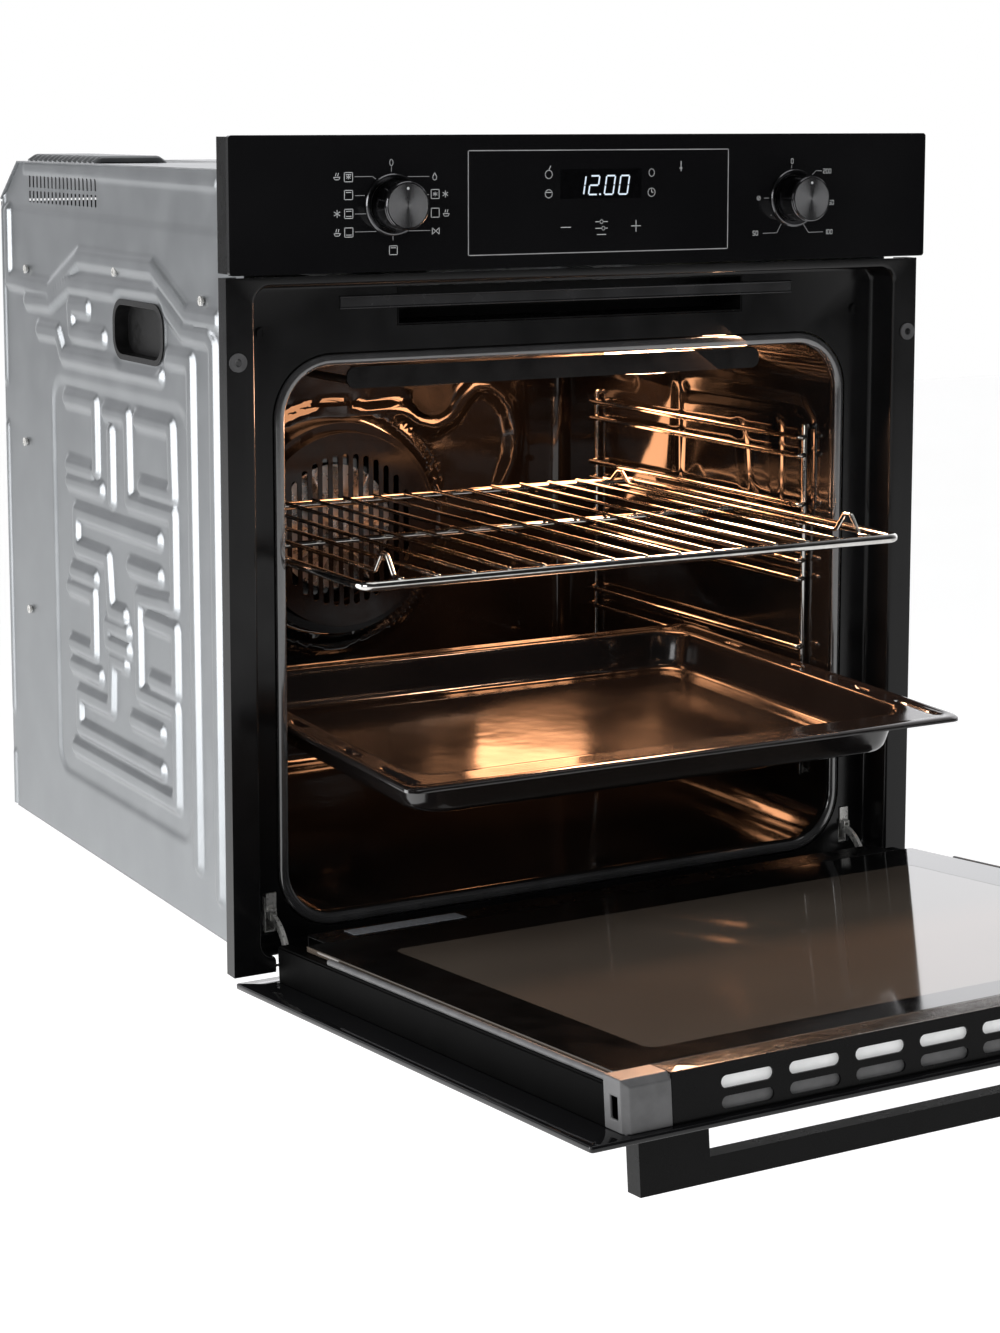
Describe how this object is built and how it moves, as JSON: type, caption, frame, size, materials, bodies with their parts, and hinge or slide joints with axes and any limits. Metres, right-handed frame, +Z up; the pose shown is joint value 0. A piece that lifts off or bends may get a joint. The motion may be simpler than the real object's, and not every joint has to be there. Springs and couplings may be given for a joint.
{
  "type": "wall oven",
  "caption": "Built-in electric wall oven with a drop-down glass door, control panel with knobs and display, wire shelf, baking tray, fan, heaters and hinges.",
  "frame": {"origin": "middle of the casing's underside, on the face that stands on the cabinet's shelf", "axes": "+X right seen from the front, +Y to the back, +Z up"},
  "size_m": [0.595, 1.0238, 0.6015],
  "materials": {
    "frame_steel": "satin charcoal",
    "enamel": "gloss black enamel",
    "zinc_steel": "satin zinc-coated sheet",
    "black_glass": "gloss, glass printed black on the back",
    "clear_glass": "clear",
    "chrome_wire": "bright",
    "hinge_steel": "zinc plated",
    "silicone": "dark grey silicone",
    "black_plastic": "satin",
    "grey_plastic": "satin grey",
    "black_metal": "satin black powder coat",
    "dark_chrome": "turned dark chrome",
    "heater_steel": "oxidised heater tube",
    "ceramic": "off-white",
    "wool": "mineral wool",
    "lamp_glass": "clear ribbed",
    "foil": "blank foil label"
  },
  "bodies": {
    "root": {"front_frame": "frame_steel", "mounting_bushes": "grey_plastic", "frame_screws": "black_metal", "cavity_liner": "enamel", "door_gasket": "silicone", "gasket_clips": "hinge_steel", "left_side_panel": "zinc_steel", "right_side_panel": "zinc_steel", "base_pan": "zinc_steel", "top_panel": "zinc_steel", "rear_panel": "zinc_steel", "grip_cups": "black_plastic", "casing_screws": "hinge_steel", "insulation_blanket": "wool", "control_panel_glass": "black_glass", "control_panel_bracket": "black_metal", "display_module": "black_plastic", "knob_rings": "dark_chrome", "function_switch": "ceramic", "thermostat": "hinge_steel", "fan_cover": "enamel", "ring_heater": "heater_steel", "fan_motor": "hinge_steel", "grill_element": "heater_steel", "grill_deflector": "enamel", "bottom_element": "heater_steel", "lamp_lens": "lamp_glass", "lamp_holder": "ceramic", "lamp_bulb": "lamp_glass", "left_side_rack": "chrome_wire", "right_side_rack": "chrome_wire", "air_duct": "zinc_steel", "cooling_fan_housing": "zinc_steel", "cooling_fan_motor": "hinge_steel", "terminal_block": "black_plastic", "hinge_receivers": "hinge_steel", "hinge_arms": "hinge_steel"},
    "door": {"door_outer_glass": "black_glass", "door_middle_glass": "clear_glass", "door_inner_glass": "black_glass", "door_columns": "black_metal", "door_side_strips": "grey_plastic", "door_vent_trim": "black_metal", "door_bottom_rail": "black_metal", "door_corner_caps": "grey_plastic", "door_handle": "black_metal", "handle_screws": "hinge_steel", "hinge_channels": "hinge_steel", "hinge_pins": "hinge_steel", "door_label": "foil"},
    "shelf": {"wire_shelf": "chrome_wire"},
    "tray": {"baking_tray": "enamel"},
    "oven_fan": {"convection_impeller": "hinge_steel"},
    "cooling_fan": {"cooling_impeller": "hinge_steel"},
    "function_spindle": {"function_spindle": "hinge_steel"},
    "function_knob": {"function_knob": "dark_chrome"},
    "temperature_spindle": {"temperature_spindle": "hinge_steel"},
    "temperature_knob": {"temperature_knob": "dark_chrome"},
    "left_latch": {"left_hinge_latch": "hinge_steel"},
    "right_latch": {"right_hinge_latch": "hinge_steel"}
  },
  "joints": [
    {"name": "door_hinge", "type": "hinge", "parent": "root", "child": "door", "pos_m": [0, -0.2718, -0.0055], "axis": [-1, 0, 0], "range_deg": [0, 84.6]},
    {"name": "shelf_slide", "type": "slide", "parent": "root", "child": "shelf", "axis": [0, 1, 0], "range_m": [0, 0.1075]},
    {"name": "tray_slide", "type": "slide", "parent": "root", "child": "tray", "axis": [0, 0.9997, 0.0262], "range_m": [0, 0.1905]},
    {"name": "oven_fan_spin", "type": "hinge", "parent": "root", "child": "oven_fan", "pos_m": [0, 0.18, 0.238], "axis": [0, 1, 0], "continuous": true},
    {"name": "cooling_fan_spin", "type": "hinge", "parent": "root", "child": "cooling_fan", "pos_m": [0, 0.12, 0.47], "axis": [0, 0, 1], "continuous": true},
    {"name": "function_turn", "type": "hinge", "parent": "root", "child": "function_spindle", "pos_m": [-0.172, -0.26, 0.54], "axis": [0, 1, 0], "continuous": true},
    {"name": "function_push", "type": "slide", "parent": "function_spindle", "child": "function_knob", "axis": [0, 1, 0], "range_m": [0, 0.0175]},
    {"name": "temperature_turn", "type": "hinge", "parent": "root", "child": "temperature_spindle", "pos_m": [0.172, -0.26, 0.54], "axis": [0, 1, 0], "range_deg": [0, 270]},
    {"name": "temperature_push", "type": "slide", "parent": "temperature_spindle", "child": "temperature_knob", "axis": [0, 1, 0], "range_m": [0, 0.0175]},
    {"name": "left_latch_flip", "type": "hinge", "parent": "root", "child": "left_latch", "pos_m": [-0.2555, -0.2455, 0.0315], "axis": [-1, 0, 0], "range_deg": [-90, 0]},
    {"name": "right_latch_flip", "type": "hinge", "parent": "root", "child": "right_latch", "pos_m": [0.2555, -0.2455, 0.0315], "axis": [-1, 0, 0], "range_deg": [-90, 0]}
  ],
  "couplings": [
    {"joint": "shelf_slide", "follows": "door_hinge", "m_per_rad": 0.0724},
    {"joint": "tray_slide", "follows": "door_hinge", "m_per_rad": 0.1287}
  ]
}
